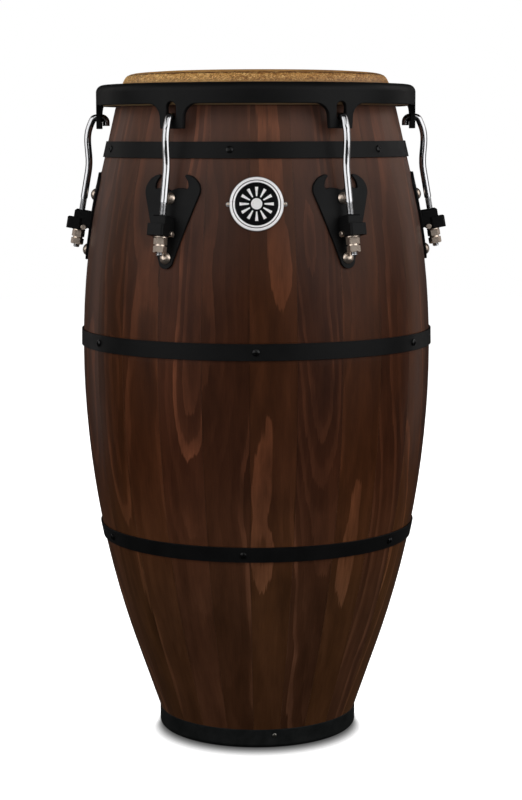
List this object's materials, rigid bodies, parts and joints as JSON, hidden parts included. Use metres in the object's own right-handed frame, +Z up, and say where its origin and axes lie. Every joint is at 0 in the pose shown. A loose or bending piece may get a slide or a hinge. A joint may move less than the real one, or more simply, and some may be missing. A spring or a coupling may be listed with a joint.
{
  "type": "conga drum",
  "caption": "Tall staved conga drum with a hide head, black hoops and counterhoop, side plates with tuning hooks and nuts, and a ringed foot.",
  "frame": {"origin": "on the floor, at the centre of the drum's foot", "axes": "+Z up along the drum's axis, the badge faces -Y, +X to the right seen from the badge side"},
  "size_m": [0.4372, 0.4086, 0.762],
  "materials": {
    "stave_wood": "walnut-stained softwood, satin lacquer, vertical grain",
    "black_steel": "black powder coat, satin, very fine orange peel",
    "foot_rubber": "black moulded rubber, satin",
    "black_screw": "black oxide",
    "zinc_screw": "bright zinc",
    "chrome_rod": "polished chrome plate",
    "nickel": "bright nickel plate, turned faces",
    "badge_metal": "polished die-cast badge",
    "badge_black": "black enamel fill",
    "rawhide": "unbleached rawhide, mottled golden tan",
    "raw_steel": "plain zinc-plated steel"
  },
  "bodies": {
    "shell": {"shell_staves": "stave_wood", "upper_band": "black_steel", "belly_band": "black_steel", "lower_band": "black_steel", "foot_ring": "foot_rubber", "band_screws": "black_screw", "foot_screws": "zinc_screw", "side_plates": "black_steel", "lug_brackets": "black_steel", "bracket_rivets": "nickel", "tuning_washers": "nickel", "carriage_bolts": "nickel", "inside_washers": "raw_steel", "inside_nuts": "raw_steel", "badge_plate": "badge_metal", "badge_enamel": "badge_black", "badge_emblem": "badge_metal", "badge_screws": "nickel", "head_playing_surface": "rawhide"},
    "rim": {"rim": "black_steel", "flesh_hoop": "raw_steel", "head_collar": "rawhide"},
    "hook_1": {"hook_1": "chrome_rod"},
    "hook_2": {"hook_2": "chrome_rod"},
    "hook_3": {"hook_3": "chrome_rod"},
    "hook_4": {"hook_4": "chrome_rod"},
    "hook_5": {"hook_5": "chrome_rod"},
    "hook_6": {"hook_6": "chrome_rod"},
    "nut_1": {"nut_1": "nickel"},
    "nut_2": {"nut_2": "nickel"},
    "nut_3": {"nut_3": "nickel"},
    "nut_4": {"nut_4": "nickel"},
    "nut_5": {"nut_5": "nickel"},
    "nut_6": {"nut_6": "nickel"}
  },
  "joints": [
    {"name": "rim_slide", "type": "slide", "parent": "shell", "child": "rim", "axis": [0, 0, 1], "range_m": [-0.008, 0.003], "deforming": ["head_collar"]},
    {"name": "hook_1_slide", "type": "slide", "parent": "shell", "child": "hook_1", "axis": [-0.0868, 0.1504, 0.9848], "range_m": [-0.0083, 0.0032]},
    {"name": "nut_1_turn", "type": "hinge", "parent": "shell", "child": "nut_1", "pos_m": [0.10335, -0.17901, 0.571], "axis": [-0.0868, 0.1504, 0.9848], "range_deg": [-790, 2090]},
    {"name": "hook_2_slide", "type": "slide", "parent": "shell", "child": "hook_2", "axis": [-0.1736, 0, 0.9848], "range_m": [-0.0083, 0.0032]},
    {"name": "nut_2_turn", "type": "hinge", "parent": "shell", "child": "nut_2", "pos_m": [0.2067, 0, 0.571], "axis": [-0.1736, 0, 0.9848], "range_deg": [-790, 2090]},
    {"name": "hook_3_slide", "type": "slide", "parent": "shell", "child": "hook_3", "axis": [-0.0868, -0.1504, 0.9848], "range_m": [-0.0083, 0.0032]},
    {"name": "nut_3_turn", "type": "hinge", "parent": "shell", "child": "nut_3", "pos_m": [0.10335, 0.17901, 0.571], "axis": [-0.0868, -0.1504, 0.9848], "range_deg": [-790, 2090]},
    {"name": "hook_4_slide", "type": "slide", "parent": "shell", "child": "hook_4", "axis": [0.0868, -0.1504, 0.9848], "range_m": [-0.0083, 0.0032]},
    {"name": "nut_4_turn", "type": "hinge", "parent": "shell", "child": "nut_4", "pos_m": [-0.10335, 0.17901, 0.571], "axis": [0.0868, -0.1504, 0.9848], "range_deg": [-790, 2090]},
    {"name": "hook_5_slide", "type": "slide", "parent": "shell", "child": "hook_5", "axis": [0.1736, 0, 0.9848], "range_m": [-0.0083, 0.0032]},
    {"name": "nut_5_turn", "type": "hinge", "parent": "shell", "child": "nut_5", "pos_m": [-0.2067, 0, 0.571], "axis": [0.1736, 0, 0.9848], "range_deg": [-790, 2090]},
    {"name": "hook_6_slide", "type": "slide", "parent": "shell", "child": "hook_6", "axis": [0.0868, 0.1504, 0.9848], "range_m": [-0.0083, 0.0032]},
    {"name": "nut_6_turn", "type": "hinge", "parent": "shell", "child": "nut_6", "pos_m": [-0.10335, -0.17901, 0.571], "axis": [0.0868, 0.1504, 0.9848], "range_deg": [-790, 2090]}
  ],
  "couplings": [
    {"joint": "hook_1_slide", "follows": "rim_slide", "ratio": 1.0154},
    {"joint": "nut_1_turn", "follows": "rim_slide", "rad_per_m": -4521.3},
    {"joint": "hook_2_slide", "follows": "rim_slide", "ratio": 1.0154},
    {"joint": "nut_2_turn", "follows": "rim_slide", "rad_per_m": -4521.3},
    {"joint": "hook_3_slide", "follows": "rim_slide", "ratio": 1.0154},
    {"joint": "nut_3_turn", "follows": "rim_slide", "rad_per_m": -4521.3},
    {"joint": "hook_4_slide", "follows": "rim_slide", "ratio": 1.0154},
    {"joint": "nut_4_turn", "follows": "rim_slide", "rad_per_m": -4521.3},
    {"joint": "hook_5_slide", "follows": "rim_slide", "ratio": 1.0154},
    {"joint": "nut_5_turn", "follows": "rim_slide", "rad_per_m": -4521.3},
    {"joint": "hook_6_slide", "follows": "rim_slide", "ratio": 1.0154},
    {"joint": "nut_6_turn", "follows": "rim_slide", "rad_per_m": -4521.3}
  ]
}
